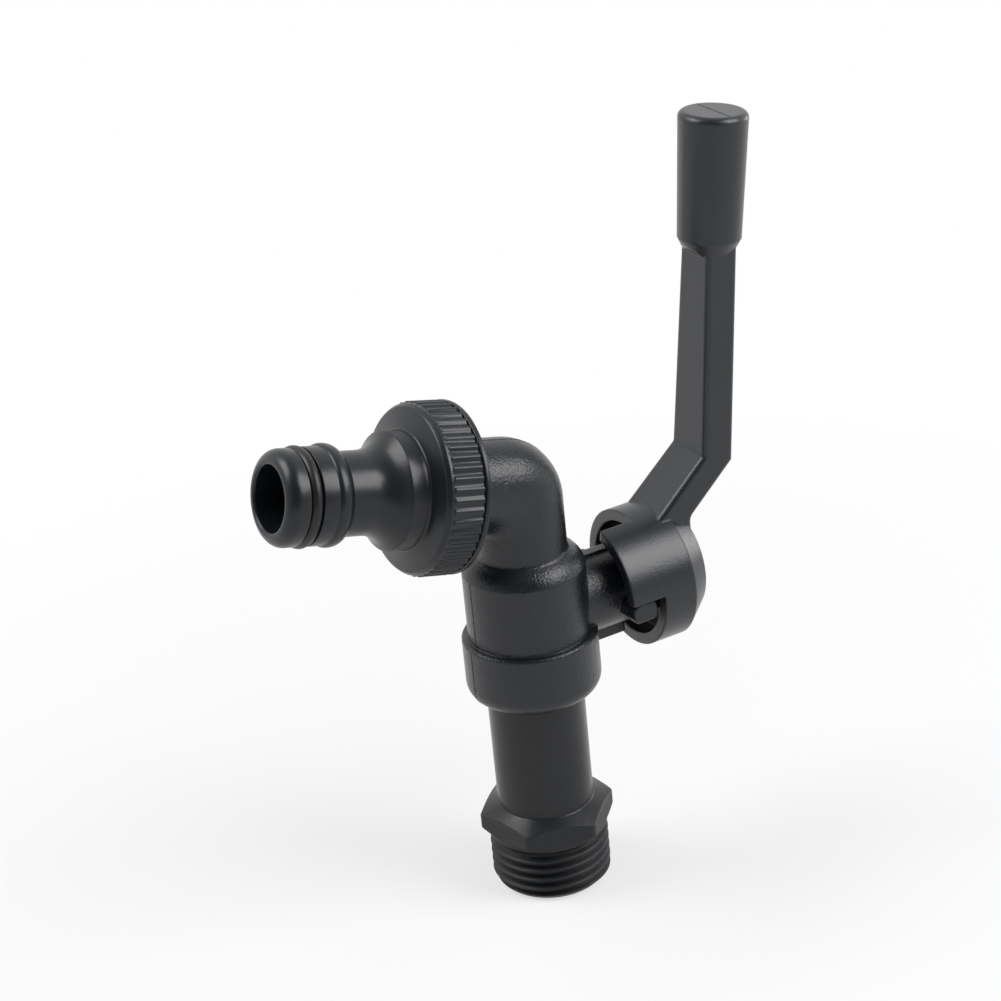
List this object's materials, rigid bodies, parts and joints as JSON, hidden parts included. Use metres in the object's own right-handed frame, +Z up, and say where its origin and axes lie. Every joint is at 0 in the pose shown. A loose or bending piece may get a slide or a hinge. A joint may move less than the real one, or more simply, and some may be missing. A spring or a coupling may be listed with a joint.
{
  "type": "garden ball valve",
  "caption": "Elbowed plastic ball valve with a male threaded inlet, a cranked quarter-turn lever and a screwed knurled adaptor ending in a quick-connect hose nozzle.",
  "frame": {"origin": "centre of the hexagon's underside, where the inlet thread ends and the valve seats", "axes": "+Z up the inlet's axis, +X along the stem towards the lever, outlet leaving towards -X and rising, +Y completing the right hand; the lever stands open along +Z"},
  "size_m": [0.0961, 0.029, 0.1317],
  "materials": {
    "moulded_body": "satin moulded",
    "moulded_lever": "fine spark-eroded grain",
    "moulded_adaptor": "smooth moulded",
    "seal_rubber": "matt",
    "seat_plastic": "turned, white",
    "ball_plastic": "polished, off-white",
    "screw_steel": "bright zinc-plated"
  },
  "bodies": {
    "valve": {"inlet_tailpiece": "moulded_body", "tailpiece_o_ring": "seal_rubber", "valve_body": "moulded_body", "inlet_seat": "seat_plastic", "outlet_seat": "seat_plastic"},
    "handle": {"lever_handle": "moulded_lever", "handle_screw": "screw_steel", "stem": "ball_plastic", "stem_washer": "seat_plastic", "stem_inner_o_ring": "seal_rubber", "stem_outer_o_ring": "seal_rubber", "ball": "ball_plastic"},
    "washer": {"sealing_washer": "seal_rubber"},
    "adaptor": {"hose_adaptor": "moulded_adaptor", "nose_o_ring": "seal_rubber"}
  },
  "joints": [
    {"name": "lever_turn", "type": "hinge", "parent": "valve", "child": "handle", "pos_m": [0, 0, 0.04115], "axis": [-1, 0, 0], "range_deg": [0, 90]},
    {"name": "adaptor_advance", "type": "slide", "parent": "valve", "child": "washer", "axis": [-0.9699, 0, 0.2436], "range_m": [0, 0.0046]},
    {"name": "adaptor_screw", "type": "hinge", "parent": "washer", "child": "adaptor", "pos_m": [0, 0, 0.0659], "axis": [-0.9699, 0, 0.2436], "range_deg": [0, 900]}
  ],
  "couplings": [
    {"joint": "adaptor_advance", "follows": "adaptor_screw", "m_per_rad": 0.00028871}
  ]
}
